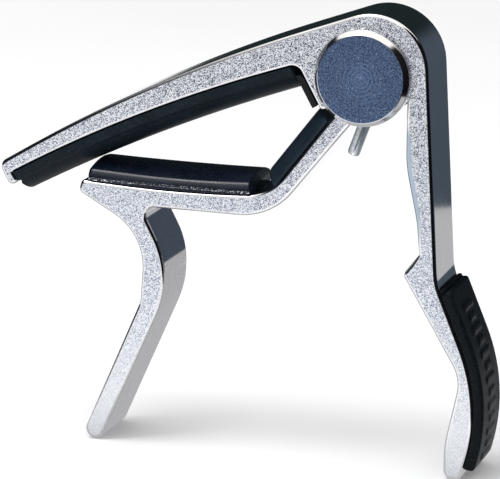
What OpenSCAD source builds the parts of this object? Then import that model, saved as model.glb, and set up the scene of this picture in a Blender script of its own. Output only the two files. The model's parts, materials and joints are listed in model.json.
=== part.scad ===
// Spring-action trigger capo for a guitar neck.
// Two flat extruded frames cross at a pivot. The upper frame carries the
// string pad and the trigger handle, the lower frame carries the neck pad
// and the second handle. Squeezing the handles opens the jaws.
// Units are millimetres. The origin is on the pivot axis, half way through
// the frames. X runs along the jaws with the noses at -X, Y runs along the
// pivot axis with the pivot head at -Y, Z is up.

/* [Frames] */
// Width of both frames along the pivot axis
frame_w = 15; // [12:0.5:16]
// Thickness of each ear of the trigger arm beside the knuckle
ear_t = 2.0; // [1.6:0.1:2.2]
// Radius of the ears round the pivot
ear_r = 9.2; // [8.8:0.1:9.2]
// Radius of the slot that houses the knuckle
slot_r = 9.3; // [9.1:0.1:9.4]
// Radius of the knuckle on the lower jaw
knuckle_r = 8.9; // [8.6:0.1:9.0]
// Side gap between the knuckle and each ear
side_gap = 0.1; // [0.05:0.05:0.3]

/* [Pivot] */
// Radius of the pivot shank
shank_r = 3.0; // [2.6:0.1:3.4]
// Radial running clearance between the shank and the ears
run_gap = 0.05; // [0.02:0.01:0.1]
// Radius of the large pivot head
head_r = 9.7; // [9.5:0.1:10.4]
// Height of the pivot head above the frame
head_h = 2.2; // [1.6:0.1:2.6]
// Width of the bevel round the pivot head
head_bevel = 1.0; // [0.4:0.1:1.4]
// Radius of the cap on the far end of the shank
cap_r = 8.0; // [7.0:0.1:9.0]
// Thickness of the cap on the far end of the shank
cap_h = 1.7; // [1.4:0.1:2.4]

/* [Spring] */
// Diameter of the torsion spring wire
wire_d = 1.7; // [1.4:0.1:1.8]
// Mean radius of the torsion spring coils
coil_r = 6.05; // [5.9:0.05:6.2]
// Number of turns of the torsion spring
coil_turns = 3.25; // [2.25:0.25:3.25]

/* [Stop pin] */
// Diameter of the slotted stop pin
stop_d = 2.5; // [2:0.1:2.8]
// Length of the slotted stop pin
stop_l = 10; // [9.5:0.1:10.5]
// Wall thickness of the slotted stop pin
stop_wall = 0.5; // [0.4:0.05:0.6]

/* [Pads] */
// Flange thickness of the string pad
string_flange = 2.0; // [1.5:0.1:2.4]
// Full thickness of the string pad in the middle of its length
string_pad_t = 5.15; // [4.6:0.05:5.2]
// Height of the straight side of the neck pad
neck_side = 2.3; // [1.6:0.1:2.6]
// Full thickness of the neck pad
neck_pad_t = 4.15; // [3.6:0.05:4.25]
// Full thickness of the pad on the diagonal of the lower jaw
throat_pad_t = 3.75; // [3.2:0.05:3.8]
// Thickness of the thin liner in the throat of the trigger arm
liner_t = 1.0; // [0.6:0.1:1.1]
// Thickness of the grip on the trigger handle
grip_t = 2.45; // [2:0.05:2.6]
// Bond gap between every pad and its frame
bond = 0.05; // [0.03:0.01:0.08]

/* [Hidden] */
half_w = frame_w / 2;
ear_in = half_w - ear_t;             // inner face of each ear
knuckle_half = ear_in - side_gap;    // half width of the knuckle
over = 1;                            // overshoot of a cut past a face
press_gap = 0.01;                    // radial gap round pressed-in pins

// Facets of rounded corners
facet_angle = 6;
facet_max = 2.5;
facet_min = 0.15;

nickel = [0.72, 0.73, 0.78];
steel = [0.40, 0.43, 0.52];
zinc = [0.60, 0.63, 0.66];
spring_steel = [0.35, 0.36, 0.38];
black_rubber = [0.06, 0.06, 0.08];

// ---- Outlines: [x, z, corner radius], clockwise; radius 0 is a sharp corner ----

// Trigger arm, from the nose.
arm_pts = [
  [-76.6, -23.6, 1.7], [-43.1, -2.95, 325], [12.0, 17.3, 11.5],
  [16.1, -40.2, 12], [26.3, -63.9, 36], [22.15, -80.0, 1.1],
  [18.75, -80.0, 1.6], [18.55, -73.5, 25], [21.4, -59.2, 8],
  [9.1, -38.95, 1.3], [12.25, -34.7, 0], [11.6, -28.3, 25],
  [9.0, -16.8, 25], [8.9, -1.5, 0], [0, 0, 0], [-5.2, -4.9, 0],
  [-6.7, -6.75, 0.5], [-8.55, -7.35, 0.9], [-13.55, 1.5, 2.0],
  [-46.55, -9.73, 313], [-73.7, -25.32, 0], [-72.1, -27.0, 0.4],
  [-74.2, -28.3, 1.3]];

// Lower jaw, from the nose.
jaw_pts = [
  [-59.25, -27.9, 1.0], [-58.55, -25.5, 0.9], [-37.5, -26.4, 250],
  [-19.0, -25.4, 11], [-7.2, -9.75, 0], [-3.2, -4.7, 0], [0.2, -6.4, 0],
  [-4.4, -12.2, 0], [-18.45, -30.0, 14], [-44.7, -30.0, 1.6],
  [-44.4, -32.8, 3.0], [-40.6, -39.9, 16.5], [-40.6, -48.7, 21],
  [-54.2, -80.5, 1.95], [-57.9, -78.98, 1.95], [-45.75, -49.8, 5],
  [-45.0, -35.8, 12]];

// Neck pad; its lower edge lies inside the jaw before cutting.
neck_top = -26.0 + neck_pad_t;
neck_pts = [
  [-57.15, -27.5, 0], [-57.2, neck_top + 0.15, 1.6],
  [-38.5, neck_top - 0.05, 300], [-22.85, neck_top + 0.15, 0.9],
  [-22.85, -27.5, 0]];

// Grip; its inner edge lies inside the handle before cutting.
grip_extra = grip_t - 2.45;   // the outline is drawn for a 2.45 grip
grip_pts = [
  [15.5, -41.6, 0], [17.9, -41.25, 0.3], [18.2, -42.0, 0],
  [19.43 + grip_extra, -41.6, 0.9], [29.05 + grip_extra, -63.7, 38.5],
  [25.15 + grip_extra, -78.2, 0.9], [21.6, -77.3, 0], [25.0, -63.9, 36]];

// ---- Shared helpers ----

function unit(v) = v / norm(v);
function turn(v, angle) =
  [v[0] * cos(angle) - v[1] * sin(angle), v[0] * sin(angle) + v[1] * cos(angle)];

// Arc points of the rounded corner at row "here" between its two neighbours.
function corner(before, here, after) =
  let (tip = [here[0], here[1]],
       to_before = unit([before[0], before[1]] - tip),
       to_after = unit([after[0], after[1]] - tip),
       half = acos(max(-1, min(1, to_before * to_after))) / 2,
       radius = here[2],
       centre = tip + unit(to_before + to_after) * (radius / sin(half)),
       start = tip + to_before * (radius / tan(half)),
       side = (to_after[0] * to_before[1] - to_after[1] * to_before[0]) > 0 ? 1 : -1,
       sweep = 180 - 2 * half,
       run = radius * sweep * PI / 180,
       count = max(1, ceil(max(min(sweep / facet_angle, run / facet_min), run / facet_max))))
  [for (k = [0:count]) centre + turn(start - centre, side * sweep * k / count)];

function rounded(pts) = let (n = len(pts)) [for (i = [0:n - 1])
  each (pts[i][2] < 0.01
    ? [[pts[i][0], pts[i][1]]]
    : corner(pts[(i + n - 1) % n], pts[i], pts[(i + 1) % n]))];

// Outline row for a point beside a sloping edge: s along it, h out from it.
function beside(foot, along, out, s, h, radius = 0) =
  concat(foot + along * s + out * h, [radius]);

// Radius of a circular crown over a given half width and rise.
function crown(half, rise) = (half * half + rise * rise) / (2 * rise);

// Extrude an x-z outline symmetrically along Y.
module slab(pts, w) rotate([90, 0, 0]) translate([0, 0, -w / 2])
  linear_extrude(height = w) polygon(rounded(pts));

// Frame outline shifted by the bond gap, to cut the underside of a pad.
module frame_cut(pts, out) translate([out[0] * bond, 0, out[1] * bond])
  slab(pts, frame_w + 4 * over);

// Cylinder along Y between two Y positions.
module rod(r, y0, y1) translate([0, y1, 0]) rotate([90, 0, 0])
  cylinder(r = r, h = y1 - y0, $fn = 96);

// Move to an x-z point and turn +Z to an x-z direction.
module aim(place, dir) translate([place[0], 0, place[1]])
  rotate([0, 90 - atan2(dir[1], dir[0]), 0]) children();

// Long cylinder that rounds the top of a pad.
module barrel(place, dir, r) aim(place, dir)
  cylinder(r = r, h = 60, center = true, $fn = 96);

// ---- Spring and its pocket ----

wire_r = wire_d / 2;
wire_gap = 0.15;                     // from the end coils to the pocket ends
tang_inset = 0.25;                   // from a tang tip to the outer face
bend_r = wire_r + 0.35;
pocket_floor = -knuckle_half + 1.9;
pocket_r = knuckle_r - 1.6;
tube_r = shank_r + 1.5;              // tube left standing round the shank
helix_y0 = pocket_floor + wire_r + wire_gap;
helix_y1 = ear_in - wire_r - wire_gap;
angle0 = 60;
angle1 = angle0 + 360 * coil_turns;
helix_steps = 26 * ceil(coil_turns);
bend_steps = 4;
wire_sides = 14;

function radial(angle) = [cos(angle), 0, sin(angle)];
function tangent(angle) = [-sin(angle), 0, cos(angle)];

// Centre of an axial tang at y = 0; side is -1 at the start, 1 at the end.
function tang_at(angle, side) = radial(angle) * coil_r + tangent(angle) * bend_r * side;

// Path rows are [outward normal, wire direction, centre].
function tang_row(angle, side, y) = [radial(angle), [0, 1, 0], tang_at(angle, side) + [0, y, 0]];
// Bend between coil and tang: q is 0 at the coil and 90 at the tang.
function bend_row(angle, side, y, q) =
  [radial(angle), tangent(angle) * cos(q) + [0, sin(q), 0],
   tang_at(angle, side * sin(q)) + [0, y + side * bend_r * (1 - cos(q)), 0]];
function helix_row(part) = let (angle = angle0 + (angle1 - angle0) * part)
  [radial(angle), tangent(angle),
   radial(angle) * coil_r + [0, helix_y0 + (helix_y1 - helix_y0) * part, 0]];

wire_path = concat(
  [tang_row(angle0, -1, -knuckle_half + tang_inset)],
  [for (k = [0:bend_steps]) bend_row(angle0, -1, helix_y0, 90 - 90 * k / bend_steps)],
  [for (k = [1:helix_steps - 1]) helix_row(k / helix_steps)],
  [for (k = [0:bend_steps]) bend_row(angle1, 1, helix_y1, 90 * k / bend_steps)],
  [tang_row(angle1, 1, half_w - tang_inset)]);

wire_points = [for (row = wire_path) let (across = cross(row[1], row[0]))
  each [for (j = [0:wire_sides - 1]) let (angle = 360 * j / wire_sides)
    row[2] + wire_r * (row[0] * cos(angle) + across * sin(angle))]];
wire_faces = let (n = wire_sides, rings = len(wire_path)) concat(
  [[for (j = [0:n - 1]) j]],
  [for (i = [0:rings - 2]) each [for (j = [0:n - 1]) let (k = (j + 1) % n)
    [i * n + j, (i + 1) * n + j, (i + 1) * n + k, i * n + k]]],
  [[for (j = [0:n - 1]) rings * n - 1 - j]]);

// Torsion spring in the pocket of the knuckle.
module torsion_spring() color(spring_steel)
  polyhedron(points = wire_points, faces = wire_faces, convexity = 8);

// Hole for one spring tang.
module tang_hole(angle, side, y0, y1)
  translate(tang_at(angle, side) + [0, y1, 0]) rotate([90, 0, 0])
    cylinder(r = wire_r + 0.1, h = y1 - y0, $fn = 32);

// ---- Stop pin ----

stop_mid = [-2.0, -12.3];        // a point on the pin axis
stop_dir = [-0.331, -0.9436];    // outward, away from the pivot
stop_out = 5.1;                  // from stop_mid to the tip
stop_chamfer = [0.25, 0.4];      // across, along
stop_slit = 0.34;
slit_angle = -100;
boss_r = stop_d / 2 + 1.0;
boss_start = -stop_l + 2;        // measured from the tip
boss_end = -stop_out - 2.7;

// Frame of the stop pin: its tip at the origin, +Z pointing outwards.
module stop_axis() aim(stop_mid + stop_dir * stop_out, stop_dir) children();

// Rolled pin with a lengthwise slit and chamfered ends.
module stop_pin() color(zinc) stop_axis() difference() {
  rotate_extrude($fn = 48) polygon([
    [stop_d / 2 - stop_wall, -stop_l],
    [stop_d / 2 - stop_chamfer[0], -stop_l],
    [stop_d / 2, -stop_l + stop_chamfer[1]],
    [stop_d / 2, -stop_chamfer[1]],
    [stop_d / 2 - stop_chamfer[0], 0],
    [stop_d / 2 - stop_wall, 0]]);
  rotate([0, 0, slit_angle]) translate([0, -stop_slit / 2, -stop_l - over])
    cube([stop_d, stop_slit, stop_l + 2 * over]);
}

// ---- Frames ----

// Upper frame with its trigger handle and the two ears of the hinge.
module trigger_arm() color(nickel) difference() {
  union() {
    slab(arm_pts, frame_w);
    rod(ear_r, -half_w, half_w);
  }
  rod(slot_r, -ear_in, ear_in);
  rod(shank_r + run_gap, -half_w - over, half_w + over);
  tang_hole(angle1, 1, ear_in - 0.5, half_w + over);
}

// Lower frame with the knuckle, its spring pocket and the stop pin boss.
module lower_jaw() color(nickel) difference() {
  union() {
    difference() {
      slab(jaw_pts, frame_w);
      // Room for the ears on both sides of the knuckle
      rod(ear_r + 0.3, -half_w - over, -knuckle_half);
      rod(ear_r + 0.3, knuckle_half, half_w + over);
    }
    rod(knuckle_r, -knuckle_half, knuckle_half);
    stop_axis() translate([0, 0, boss_start])
      cylinder(r = boss_r, h = boss_end - boss_start, $fn = 48);
  }
  // Ring-shaped spring pocket, open towards +Y
  difference() {
    rod(pocket_r, pocket_floor, half_w + over);
    rod(tube_r, pocket_floor - over, half_w + 2 * over);
  }
  rod(shank_r + press_gap, -half_w - over, half_w + over);
  tang_hole(angle0, -1, -half_w, pocket_floor + 0.5);
  stop_axis() translate([0, 0, -stop_l - 0.1])
    cylinder(r = stop_d / 2 + press_gap, h = stop_l, $fn = 48);
}

// ---- Pivot: profiles are [radius, -y] ----

shank_end = -half_w - cap_h + 0.25;   // sunk below the face of the cap
shank_chamfer = 0.3;
cap_chamfer = 0.5;

// Large bevelled head on the front (-Y) and a straight shank.
module pivot_pin() color(steel) rotate([90, 0, 0]) rotate_extrude($fn = 96) polygon([
  [0, shank_end], [shank_r - shank_chamfer, shank_end],
  [shank_r, shank_end + shank_chamfer], [shank_r, half_w + run_gap],
  [head_r, half_w + run_gap], [head_r, half_w + head_h - head_bevel],
  [head_r - head_bevel, half_w + head_h], [0, half_w + head_h]]);

// Cap pressed onto the far end of the shank.
module rear_cap() color(steel) rotate([90, 0, 0]) rotate_extrude($fn = 96) polygon([
  [shank_r + press_gap, -half_w - run_gap], [shank_r + press_gap, -half_w - cap_h],
  [cap_r - cap_chamfer, -half_w - cap_h], [cap_r, -half_w - cap_h + cap_chamfer],
  [cap_r, -half_w - run_gap]]);

// ---- String pad ----
// It runs along two nearly concentric arcs: the foot on the lower edge of the
// arm, and the playing face. "part" is the share of the length from the nose.

foot_mid = [83.004, -296.270];
foot_r = 313 - bond;
foot_angle = 120.028;
foot_sweep = 11.775;
face_mid = [111.932, -362.908];
face_r = 380.457 - (string_pad_t - 5.15);   // the arc is set for a 5.15 pad
face_angle = 118.938;
face_sweep = 9.878;
string_half = half_w - 0.4;                 // half width of the crown
string_len = 64.7;
flange_chamfer = 0.15;
crown_lift = 0.005;
section_steps = 12;

// Stations: [share of the length, share of the rise above the flange].
string_rows = concat(
  [[0, 0.005], [0.011, 0.01], [0.0125, 0.5], [0.015, 0.75], [0.019, 0.9], [0.025, 0.98]],
  [for (k = [0:19]) [0.035 + 0.95 * k / 19, 1]],
  [[0.9915, 0.985], [0.996, 0.95], [1, 0.87]]);

function spoke(angle) = [cos(angle), sin(angle)];
function foot_at(part) = foot_mid + foot_r * spoke(foot_angle - part * foot_sweep);
function face_at(part) = face_mid + face_r * spoke(face_angle - part * face_sweep);

// Near the nose the end face leans back to clear the lip of the arm: most at
// height 2.3, fading by 0.8 per millimetre along the pad.
function end_lean(h) = h < 2.3 ? 0.04 + 0.465 * h : max(0, 1.11 - (h - 2.3) * 0.7);
function lean_at(part, h) = max(0, end_lean(h) - 0.8 * part * string_len);

// Half section at one station, from the flange to the crown: [y, height].
function half_section(top) =
  let (r = crown(string_half, top - string_flange), spread = asin(string_half / r))
  concat(
    [[half_w, 0], [half_w, string_flange - flange_chamfer],
     [half_w - flange_chamfer, string_flange]],
    [for (i = [0:section_steps]) let (angle = spread * (1 - i / section_steps))
      [r * sin(angle), top + crown_lift - r + r * cos(angle)]]);

function pad_row(station) =
  let (part = station[0], foot = foot_at(part), to_face = face_at(part) - foot,
       deep = norm(to_face), down = to_face / deep, back = [-down[1], down[0]],
       half = half_section(string_flange + (deep - string_flange) * station[1]),
       mirrored = [for (i = [len(half) - 2:-1:0]) [-half[i][0], half[i][1]]])
  [for (s = concat(half, mirrored))
    let (place = foot + down * s[1] + back * lean_at(part, s[1]))
    [place[0], s[0], place[1]]];

pad_points = [for (station = string_rows) each pad_row(station)];
pad_faces = let (n = 2 * (section_steps + 4) - 1, last = len(string_rows) - 1) concat(
  [for (i = [1:n - 2]) [0, i + 1, i]],
  [for (k = [0:last - 1], i = [0:n - 1]) let (j = (i + 1) % n) each [
    [k * n + i, (k + 1) * n + j, (k + 1) * n + i], [k * n + i, k * n + j, (k + 1) * n + j]]],
  [for (i = [1:n - 2]) [last * n, last * n + i, last * n + i + 1]]);

// Pad that presses on the strings: flat flange and a rounded crown.
module string_pad() color(black_rubber)
  polyhedron(points = pad_points, faces = pad_faces, convexity = 6);

// ---- Other pads ----

sheet_w = frame_w - 0.2;   // width of the liner and the grip
sunk = -1;                 // pad underside inside its frame before cutting

// Throat edge of the trigger arm
throat_foot = [-9.25, -6.3];
throat_dir = [0.4924, -0.8704];
throat_out = [throat_dir[1], -throat_dir[0]];
liner_len = 7.2;

// Thin liner glued in the throat of the trigger arm.
module throat_liner() color(black_rubber) difference() {
  slab([for (q = [[0, liner_t + bond], [-liner_len, liner_t + bond],
                  [-liner_len, sunk], [0, sunk]])
    beside(throat_foot, throat_dir, throat_out, q[0], q[1])], sheet_w);
  frame_cut(arm_pts, throat_out);
}

// Pad behind the neck: straight sides and a low crown.
neck_crown_r = crown(half_w, neck_pad_t - neck_side);
module neck_pad() color(black_rubber) difference() {
  intersection() {
    slab(neck_pts, frame_w);
    barrel([-40, neck_top + 0.1 - neck_crown_r], [1, 0], neck_crown_r);
  }
  frame_cut(jaw_pts, [0, 1]);
}

// Diagonal edge of the lower jaw
diag_foot = [-17.2, -23.0];
diag_dir = [0.6027, 0.7980];
diag_out = [-diag_dir[1], diag_dir[0]];
diag_len = 17.3;
diag_shift = -0.6;         // slide of the top face along the diagonal
diag_crown_r = crown(half_w, throat_pad_t - 0.9);

// Crowned pad on the diagonal, clear of the hook on the trigger arm.
module throat_pad() color(black_rubber) difference() {
  intersection() {
    slab([for (q = [[0, sunk, 0], [diag_shift, throat_pad_t, 0.9],
                    [diag_len + diag_shift, throat_pad_t, 1.5], [diag_len, sunk, 0]])
      beside(diag_foot, diag_dir, diag_out, q[0], q[1], q[2])], frame_w);
    barrel(diag_foot + diag_dir * 8 + diag_out * (throat_pad_t - diag_crown_r),
           diag_dir, diag_crown_r);
  }
  frame_cut(jaw_pts, diag_out);
}

// Grip on the outside of the trigger handle.
module trigger_grip() color(black_rubber) difference() {
  slab(grip_pts, sheet_w);
  frame_cut(arm_pts, [1, 0]);
}

trigger_arm();
lower_jaw();
pivot_pin();
rear_cap();
torsion_spring();
stop_pin();
string_pad();
throat_liner();
neck_pad();
throat_pad();
trigger_grip();
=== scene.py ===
"""A trigger capo, drawn in millimetres about its pivot.

Outlines lie in the XZ plane and widths run along Y, the pivot axis. The arm and the jaw both
reach towards -X. The arm's handle hangs down at +X and the jaw's leg hangs down at -X. The
camera looks from the -Y side. Materials, lights and stage are in metres.
"""
import json
import math
import bpy
import bmesh
from mathutils import Vector, Matrix

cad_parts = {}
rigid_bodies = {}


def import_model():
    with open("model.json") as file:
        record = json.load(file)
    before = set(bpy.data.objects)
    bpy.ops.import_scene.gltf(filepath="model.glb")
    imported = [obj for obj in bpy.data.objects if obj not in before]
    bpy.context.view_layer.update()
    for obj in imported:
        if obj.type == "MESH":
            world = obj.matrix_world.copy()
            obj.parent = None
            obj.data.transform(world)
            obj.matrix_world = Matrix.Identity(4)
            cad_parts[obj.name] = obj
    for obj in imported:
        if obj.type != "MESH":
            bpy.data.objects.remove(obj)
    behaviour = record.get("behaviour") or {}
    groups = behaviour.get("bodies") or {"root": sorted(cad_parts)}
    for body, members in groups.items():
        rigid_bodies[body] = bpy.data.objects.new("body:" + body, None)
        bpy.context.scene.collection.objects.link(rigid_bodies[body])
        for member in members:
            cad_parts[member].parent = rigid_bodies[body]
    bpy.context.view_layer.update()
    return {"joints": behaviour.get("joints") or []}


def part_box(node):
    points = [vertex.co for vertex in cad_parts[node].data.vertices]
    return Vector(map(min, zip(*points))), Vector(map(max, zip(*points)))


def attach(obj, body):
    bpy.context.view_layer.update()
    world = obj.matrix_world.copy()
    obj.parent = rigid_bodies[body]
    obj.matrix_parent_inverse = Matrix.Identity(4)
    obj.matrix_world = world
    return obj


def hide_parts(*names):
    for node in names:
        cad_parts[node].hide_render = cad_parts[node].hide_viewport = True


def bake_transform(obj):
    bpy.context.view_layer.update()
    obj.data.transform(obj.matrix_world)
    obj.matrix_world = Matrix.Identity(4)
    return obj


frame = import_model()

S = 0.001  # metres in a millimetre
joint = frame["joints"][0]
PIVOT = Vector(joint["pos_m"])
JAW, TRIGGER = joint["parent"], joint["child"]

# ---------------------------------------------------------------- sizes (mm)
arm_lo, arm_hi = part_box("trigger_arm")
FLOOR = min(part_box("lower_jaw")[0].z, arm_lo.z)  # metres
HALF = (arm_hi.y - arm_lo.y) / 2 / S  # half width of both frames
THROUGH = HALF + 1  # reach of a cut that clears the frame
KNUCKLE = HALF - 2.1  # half width of the jaw's knuckle
EAR_IN = HALF - 2.0  # inner face of the arm's ears
EXTRA = HALF - 7.0  # half width beyond the 7 mm the pads are drawn for
SLOT_R, EAR_R, KNUCKLE_R, SHANK_R = 9.3, 9.2, 8.9, 3.0
RIM = 0.78  # rounding of the frames' edges
OUTLINE_STEP = 2.5  # longest edge along a frame outline

# Torsion spring in the knuckle's pocket, which opens towards +Y.
POCKET_FLOOR = -KNUCKLE + 1.9
POCKET_IN, POCKET_OUT = 4.5, KNUCKLE_R - 1.6
WIRE, COIL = 0.85, 6.05  # radii of the wire and of the coil's centre line
BEND = WIRE + 0.35
COIL_Y0, COIL_Y1 = POCKET_FLOOR + WIRE + 0.15, EAR_IN - WIRE - 0.15
COIL_START = math.radians(60)
COIL_END = COIL_START + 2 * math.pi * 3.25
COIL_STEPS, BEND_STEPS, WIRE_SIDES = 150, 6, 18

# Slotted stop pin in the jaw's knuckle. Its own +Z runs to the tip.
PIN_R, PIN_LENGTH, PIN_REACH = 1.25, 10.0, 5.1
PIN_BORE = PIN_R - 0.5
SLIT_HALF = 0.17
pin_dir = Vector((-0.331, 0, -0.9436)).normalized()
pin_tip = Vector((-2.0, 0, -12.3)) + pin_dir * PIN_REACH
pin_side = Vector((0, 1, 0))
pin_axes = Matrix((pin_side.cross(pin_dir).normalized(), pin_side, pin_dir)).transposed()
PIN_FRAME = Matrix.Translation(pin_tip * S) @ pin_axes.to_4x4()

# Pivot head at -Y and cap at +Y.
SEAT = HALF + 0.05
HEAD_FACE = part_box("pivot_pin")[0].y / S
CAP_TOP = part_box("rear_cap")[1].y / S
CAP_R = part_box("rear_cap")[1].x / S

# ---------------------------------------------------------------- outlines
# Clockwise corners: x, z, rounding radius (mm).
EAR_START, EAR_SWEEP, EAR_STEPS = -16.5, -117.1, 30  # degrees, degrees, count
ear_angles = [math.radians(EAR_START + EAR_SWEEP * k / EAR_STEPS) for k in range(EAR_STEPS + 1)]
ARM = [
    (-76.6, -23.6, 1.7), (-43.1, -2.95, 325), (12.0, 17.3, 11.5),
    (16.1, -40.2, 12), (26.3, -63.9, 36), (22.15, -80.0, 1.1),
    (18.75, -80.0, 1.6), (18.55, -73.5, 25), (21.4, -59.2, 8),
    (9.1, -38.95, 1.3), (12.25, -34.7, 0), (11.6, -28.3, 25),
    (9.0, -16.8, 25), (8.9, -2.33, 0),
    *[(EAR_R * math.cos(a), EAR_R * math.sin(a), 0) for a in ear_angles],
    (-8.55, -7.35, 0.9), (-13.55, 1.5, 2.0), (-46.55, -9.73, 313),
    (-73.7, -25.32, 0), (-72.1, -27.0, 0.85), (-74.2, -28.3, 1.2)]
JAW_OUTLINE = [
    (-59.25, -27.9, 1.0), (-58.55, -25.5, 0.9), (-37.5, -26.4, 250),
    (-19.0, -25.4, 11), (-7.2, -9.75, 0), (-3.2, -4.7, 0), (0.2, -6.4, 0),
    (-4.4, -12.2, 0), (-18.45, -30.0, 14), (-44.55, -30.0, 1.5),
    (-44.6, -32.5, 1.6), (-40.6, -39.9, 16.5), (-40.6, -48.7, 21),
    (-54.2, -80.5, 1.95), (-57.9, -78.98, 1.95), (-45.75, -49.8, 5),
    (-45.0, -35.8, 12)]


def corner(before, at, after, step=4.0, longest=1.6, shortest=0.12):
    """Arc that rounds a corner, in steps of so many degrees with chords within limits."""
    radius = at[2]
    point = Vector((at[0], at[1]))
    u = (Vector((before[0], before[1])) - point).normalized()
    v = (Vector((after[0], after[1])) - point).normalized()
    half = math.acos(max(-1, min(1, u.dot(v)))) / 2
    centre = point + (u + v).normalized() * (radius / math.sin(half))
    start = point + u * (radius / math.tan(half)) - centre
    side = 1 if v.x * u.y - v.y * u.x > 0 else -1
    turn = math.pi - 2 * half
    arc = radius * turn
    count = max(1, math.ceil(max(min(math.degrees(turn) / step, arc / shortest), arc / longest)))
    return [centre + Matrix.Rotation(side * turn * k / count, 2) @ start
            for k in range(count + 1)]


def rounded(points):
    out = []
    for i, point in enumerate(points):
        if point[2] < 0.01:
            out.append(Vector((point[0], point[1])))
        else:
            out += corner(points[i - 1], point, points[(i + 1) % len(points)])
    return out


def densify(points, longest):
    out = []
    for i, p in enumerate(points):
        q = points[(i + 1) % len(points)]
        n = max(1, math.ceil((q - p).length / longest))
        out += [p.lerp(q, k / n) for k in range(n)]
    return out


def inset(points, depth, scale_at):
    """Moves a clockwise outline inwards by depth times scale_at(point)."""
    out = []
    for i, here in enumerate(points):
        edge_in = (here - points[i - 1]).normalized()
        edge_out = (points[(i + 1) % len(points)] - here).normalized()
        normal_in = Vector((edge_in.y, -edge_in.x))
        normal = normal_in + Vector((edge_out.y, -edge_out.x))
        if edge_in.x * edge_out.y - edge_in.y * edge_out.x > 0.2:
            normal = normal.normalized()  # a sharp hollow corner isn't mitred
        else:
            normal = normal / max(0.35, normal.dot(normal_in))
        out.append(here + normal * depth * scale_at(here))
    return out


# ---------------------------------------------------------------- mesh helpers
def to_object(name, verts, faces):
    mesh = bpy.data.meshes.new(name)
    mesh.from_pydata([Vector(v) * S for v in verts], [], faces)
    mesh.validate()
    bm = bmesh.new()
    bm.from_mesh(mesh)
    bmesh.ops.remove_doubles(bm, verts=bm.verts, dist=2e-6)
    bmesh.ops.recalc_face_normals(bm, faces=bm.faces)
    bm.to_mesh(mesh)
    bm.free()
    ob = bpy.data.objects.new(name, mesh)
    bpy.context.scene.collection.objects.link(ob)
    return ob


def side_faces(rings, n):
    """Quads between successive closed rings of n points."""
    return [(i * n + j, i * n + (j + 1) % n, (i + 1) * n + (j + 1) % n, (i + 1) * n + j)
            for i in range(rings - 1) for j in range(n)]


def loft(name, rings):
    """Closed rings of equal length joined along a path and capped."""
    n = len(rings[0])
    faces = side_faces(len(rings), n)
    faces.append(tuple(range(n)))
    faces.append(tuple((len(rings) - 1) * n + j for j in reversed(range(n))))
    return to_object(name, [tuple(p) for ring in rings for p in ring], faces)


def prism(name, points, y0, y1, rim=RIM, steps=5, scale_at=lambda point: 1):
    """Solid between y0 and y1 with rounded rims."""
    rings = []
    turns = [k / steps for k in range(steps + 1)]
    for edge, sign, fractions in ((y0, 1, turns), (y1, -1, [1 - t for t in turns])):
        for fraction in fractions:
            q = math.pi / 2 * fraction
            depth = rim * (1 - math.sin(q))
            y = edge + sign * rim * (1 - math.cos(q))
            outline = inset(points, depth, scale_at) if depth > 1e-6 else points
            rings.append([(p.x, y, p.y) for p in outline])
    return loft(name, rings)


def lathe(name, profile, n=128, closed=False):
    """Turns (radius, y) points about the pivot axis."""
    verts, faces, rings = [], [], []
    for radius, y in profile:
        if radius < 1e-6:
            rings.append([len(verts)] * n)
            verts.append((0, y, 0))
        else:
            rings.append(list(range(len(verts), len(verts) + n)))
            for k in range(n):
                a = 2 * math.pi * k / n
                verts.append((radius * math.cos(a), y, radius * math.sin(a)))
    count = len(profile)
    for i in range(count if closed else count - 1):
        low, high = rings[i], rings[(i + 1) % count]
        for k in range(n):
            j = (k + 1) % n
            face = tuple(dict.fromkeys((low[k], low[j], high[j], high[k])))
            if len(face) > 2:
                faces.append(face)
    return to_object(name, verts, faces)


def y_cylinder(radius, y0, y1, n=96, x=0.0, z=0.0):
    ob = lathe("cut", [(0, y0), (radius, y0), (radius, y1), (0, y1)], n)
    ob.data.transform(Matrix.Translation((x * S, 0, z * S)))
    return ob


def pin_cylinder(radius, z0, z1, n=64):
    """Cylinder along the stop pin, with z measured from its tip."""
    angles = [2 * math.pi * k / n for k in range(n)]
    verts = [(radius * math.cos(a), radius * math.sin(a), z) for z in (z0, z1) for a in angles]
    ob = to_object("cut", verts, side_faces(2, n) + [tuple(range(n)), tuple(range(n, 2 * n))])
    ob.data.transform(PIN_FRAME)
    return ob


def boolean(target, tool, operation="DIFFERENCE"):
    """Applies the tool to the target and removes the tool."""
    modifier = target.modifiers.new("b", "BOOLEAN")
    modifier.operation = operation
    modifier.solver = "EXACT"
    modifier.object = tool
    graph = bpy.context.evaluated_depsgraph_get()
    mesh = bpy.data.meshes.new_from_object(target.evaluated_get(graph))
    target.modifiers.clear()
    old, tool_mesh = target.data, tool.data
    target.data = mesh
    bpy.data.meshes.remove(old)
    bpy.data.objects.remove(tool)
    bpy.data.meshes.remove(tool_mesh)


def tidy(ob):
    bm = bmesh.new()
    bm.from_mesh(ob.data)
    bmesh.ops.remove_doubles(bm, verts=bm.verts, dist=3e-6)
    bmesh.ops.dissolve_degenerate(bm, edges=bm.edges, dist=2e-6)
    bm.to_mesh(ob.data)
    bm.free()


def finish(ob, body, node, material, angle=32, weighted=True):
    mesh = ob.data
    mesh.name = ob.name
    for p in mesh.polygons:
        p.use_smooth = True
    mesh.set_sharp_from_angle(angle=math.radians(angle))
    mesh.materials.clear()
    mesh.materials.append(material)
    if weighted:
        normals = ob.modifiers.new("wn", "WEIGHTED_NORMAL")
        normals.keep_sharp = True
        normals.mode = "FACE_AREA_WITH_ANGLE"
        normals.weight = 100
    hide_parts(node)
    if body:
        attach(ob, body)


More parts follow.
